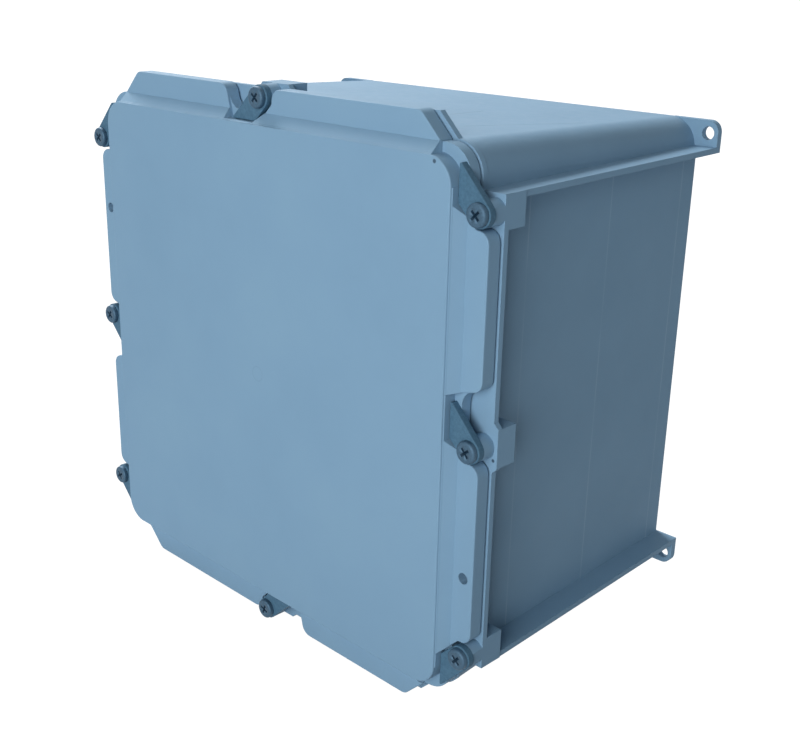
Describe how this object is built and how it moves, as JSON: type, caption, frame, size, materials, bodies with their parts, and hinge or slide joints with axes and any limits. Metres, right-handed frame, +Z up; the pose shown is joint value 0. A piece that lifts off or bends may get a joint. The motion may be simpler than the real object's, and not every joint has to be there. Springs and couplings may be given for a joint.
{
  "type": "junction box",
  "caption": "Square moulded plastic wall junction box with a gasketed screw-on lid held by swing clamps, side ledges and mounting feet.",
  "frame": {"origin": "on the wall plane at the back of the box, at the centre of the four foot holes", "axes": "+X to the right seen from the front, +Y into the wall, +Z up; the lid faces -Y"},
  "size_m": [0.345, 0.226, 0.341],
  "materials": {
    "body_pvc": "moulded blue-grey PVC, lightly textured",
    "lid_pvc": "moulded blue-grey PVC, lightly textured",
    "clamp_plastic": "moulded dark grey nylon, satin",
    "screw_steel": "stainless steel, rolled thread, plain head",
    "insert_brass": "turned brass, threaded",
    "gasket_rubber": "black neoprene, matt"
  },
  "bodies": {
    "box": {"box_body": "body_pvc", "insert_right_top": "insert_brass", "insert_right_middle": "insert_brass", "insert_right_bottom": "insert_brass", "insert_bottom": "insert_brass", "insert_left_bottom": "insert_brass", "insert_left_middle": "insert_brass", "insert_left_top": "insert_brass", "insert_top": "insert_brass", "panel_inserts": "insert_brass"},
    "lid": {"lid": "lid_pvc", "lid_gasket": "gasket_rubber"},
    "screw_right_top": {"screw_right_top": "screw_steel"},
    "clamp_right_top": {"clamp_right_top": "clamp_plastic"},
    "screw_right_middle": {"screw_right_middle": "screw_steel"},
    "clamp_right_middle": {"clamp_right_middle": "clamp_plastic"},
    "screw_right_bottom": {"screw_right_bottom": "screw_steel"},
    "clamp_right_bottom": {"clamp_right_bottom": "clamp_plastic"},
    "screw_bottom": {"screw_bottom": "screw_steel"},
    "clamp_bottom": {"clamp_bottom": "clamp_plastic"},
    "screw_left_bottom": {"screw_left_bottom": "screw_steel"},
    "clamp_left_bottom": {"clamp_left_bottom": "clamp_plastic"},
    "screw_left_middle": {"screw_left_middle": "screw_steel"},
    "clamp_left_middle": {"clamp_left_middle": "clamp_plastic"},
    "screw_left_top": {"screw_left_top": "screw_steel"},
    "clamp_left_top": {"clamp_left_top": "clamp_plastic"},
    "screw_top": {"screw_top": "screw_steel"},
    "clamp_top": {"clamp_top": "clamp_plastic"}
  },
  "joints": [
    {"name": "lid_lift", "type": "slide", "parent": "box", "child": "lid", "axis": [0, -1, 0], "range_m": [0, 0.1]},
    {"name": "screw_lift_right_top", "type": "slide", "parent": "box", "child": "screw_right_top", "axis": [0, -1, 0], "range_m": [0, 0.1]},
    {"name": "clamp_swing_right_top", "type": "hinge", "parent": "screw_right_top", "child": "clamp_right_top", "pos_m": [0.1635, -0.217, 0.123], "axis": [0, 1, 0], "range_deg": [0, 110]},
    {"name": "screw_lift_right_middle", "type": "slide", "parent": "box", "child": "screw_right_middle", "axis": [0, -1, 0], "range_m": [0, 0.1]},
    {"name": "clamp_swing_right_middle", "type": "hinge", "parent": "screw_right_middle", "child": "clamp_right_middle", "pos_m": [0.1635, -0.217, 0], "axis": [0, 1, 0], "range_deg": [0, 110]},
    {"name": "screw_lift_right_bottom", "type": "slide", "parent": "box", "child": "screw_right_bottom", "axis": [0, -1, 0], "range_m": [0, 0.1]},
    {"name": "clamp_swing_right_bottom", "type": "hinge", "parent": "screw_right_bottom", "child": "clamp_right_bottom", "pos_m": [0.1635, -0.217, -0.123], "axis": [0, -1, 0], "range_deg": [0, 110]},
    {"name": "screw_lift_bottom", "type": "slide", "parent": "box", "child": "screw_bottom", "axis": [0, -1, 0], "range_m": [0, 0.1]},
    {"name": "clamp_swing_bottom", "type": "hinge", "parent": "screw_bottom", "child": "clamp_bottom", "pos_m": [0, -0.217, -0.1635], "axis": [0, 1, 0], "range_deg": [0, 110]},
    {"name": "screw_lift_left_bottom", "type": "slide", "parent": "box", "child": "screw_left_bottom", "axis": [0, -1, 0], "range_m": [0, 0.1]},
    {"name": "clamp_swing_left_bottom", "type": "hinge", "parent": "screw_left_bottom", "child": "clamp_left_bottom", "pos_m": [-0.1635, -0.217, -0.123], "axis": [0, 1, 0], "range_deg": [0, 110]},
    {"name": "screw_lift_left_middle", "type": "slide", "parent": "box", "child": "screw_left_middle", "axis": [0, -1, 0], "range_m": [0, 0.1]},
    {"name": "clamp_swing_left_middle", "type": "hinge", "parent": "screw_left_middle", "child": "clamp_left_middle", "pos_m": [-0.1635, -0.217, 0], "axis": [0, 1, 0], "range_deg": [0, 110]},
    {"name": "screw_lift_left_top", "type": "slide", "parent": "box", "child": "screw_left_top", "axis": [0, -1, 0], "range_m": [0, 0.1]},
    {"name": "clamp_swing_left_top", "type": "hinge", "parent": "screw_left_top", "child": "clamp_left_top", "pos_m": [-0.1635, -0.217, 0.123], "axis": [0, -1, 0], "range_deg": [0, 110]},
    {"name": "screw_lift_top", "type": "slide", "parent": "box", "child": "screw_top", "axis": [0, -1, 0], "range_m": [0, 0.1]},
    {"name": "clamp_swing_top", "type": "hinge", "parent": "screw_top", "child": "clamp_top", "pos_m": [0, -0.217, 0.1635], "axis": [0, 1, 0], "range_deg": [0, 110]}
  ],
  "couplings": [
    {"joint": "screw_lift_right_top", "follows": "lid_lift", "ratio": 1},
    {"joint": "screw_lift_right_middle", "follows": "lid_lift", "ratio": 1},
    {"joint": "screw_lift_right_bottom", "follows": "lid_lift", "ratio": 1},
    {"joint": "screw_lift_bottom", "follows": "lid_lift", "ratio": 1},
    {"joint": "screw_lift_left_bottom", "follows": "lid_lift", "ratio": 1},
    {"joint": "screw_lift_left_middle", "follows": "lid_lift", "ratio": 1},
    {"joint": "screw_lift_left_top", "follows": "lid_lift", "ratio": 1},
    {"joint": "screw_lift_top", "follows": "lid_lift", "ratio": 1}
  ]
}
